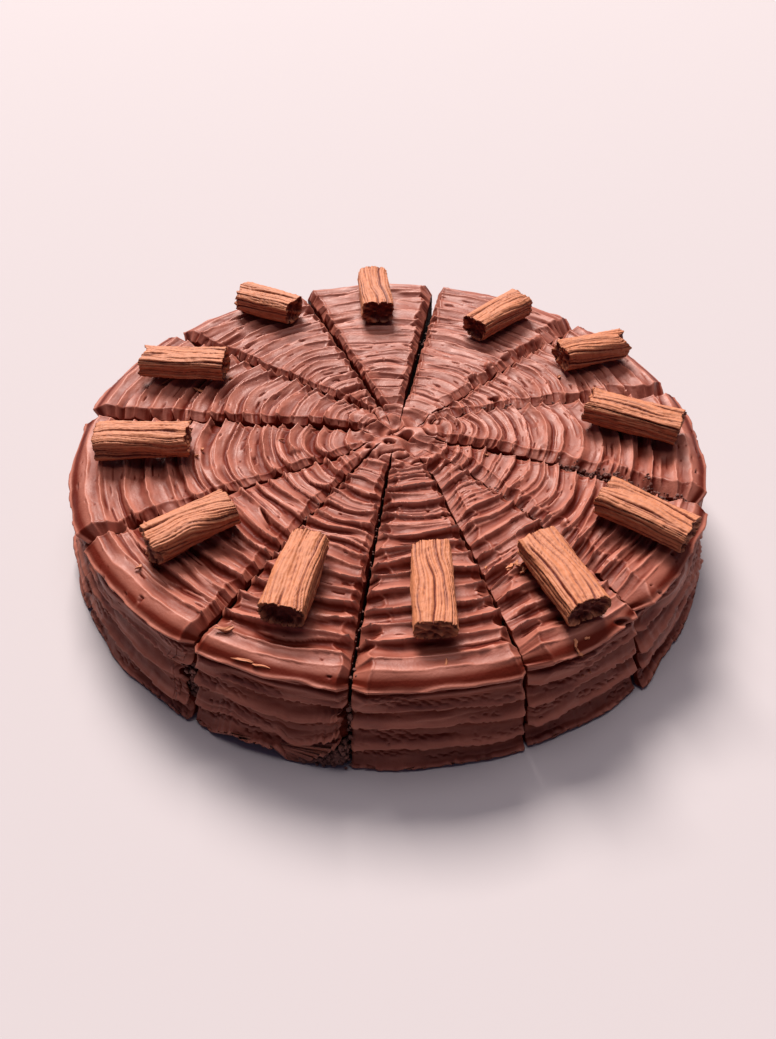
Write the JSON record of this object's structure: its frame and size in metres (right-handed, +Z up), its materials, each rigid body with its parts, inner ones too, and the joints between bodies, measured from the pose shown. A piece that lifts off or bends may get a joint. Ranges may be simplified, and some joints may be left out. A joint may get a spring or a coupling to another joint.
{
  "type": "fudge cake",
  "caption": "Round iced fudge cake cut into wedge slices that keep the whole's shape, with combed icing and a folded chocolate stick on each slice.",
  "frame": {"origin": "on the cake's axis, in the plane that the cake stands on", "axes": "+Z up, -Y the front that faces the viewer, +X to the viewer's right"},
  "size_m": [0.2627, 0.2638, 0.0529],
  "materials": {
    "icing": "satin chocolate fudge icing, combed into ridges",
    "sponge": "dark, crumbly chocolate sponge",
    "stick_chocolate": "dull, folded crumbly milk chocolate"
  },
  "bodies": {
    "root": {"icing_01": "icing", "icing_02": "icing", "icing_03": "icing", "icing_04": "icing", "icing_05": "icing", "icing_06": "icing", "icing_07": "icing", "icing_08": "icing", "icing_09": "icing", "icing_10": "icing", "icing_11": "icing", "icing_12": "icing", "sponge_01": "sponge", "sponge_02": "sponge", "sponge_03": "sponge", "sponge_04": "sponge", "sponge_05": "sponge", "sponge_06": "sponge", "sponge_07": "sponge", "sponge_08": "sponge", "sponge_09": "sponge", "sponge_10": "sponge", "sponge_11": "sponge", "sponge_12": "sponge", "stick_01": "stick_chocolate", "stick_02": "stick_chocolate", "stick_03": "stick_chocolate", "stick_04": "stick_chocolate", "stick_05": "stick_chocolate", "stick_06": "stick_chocolate", "stick_07": "stick_chocolate", "stick_08": "stick_chocolate", "stick_09": "stick_chocolate", "stick_10": "stick_chocolate", "stick_11": "stick_chocolate", "stick_12": "stick_chocolate"}
  },
  "joints": []
}
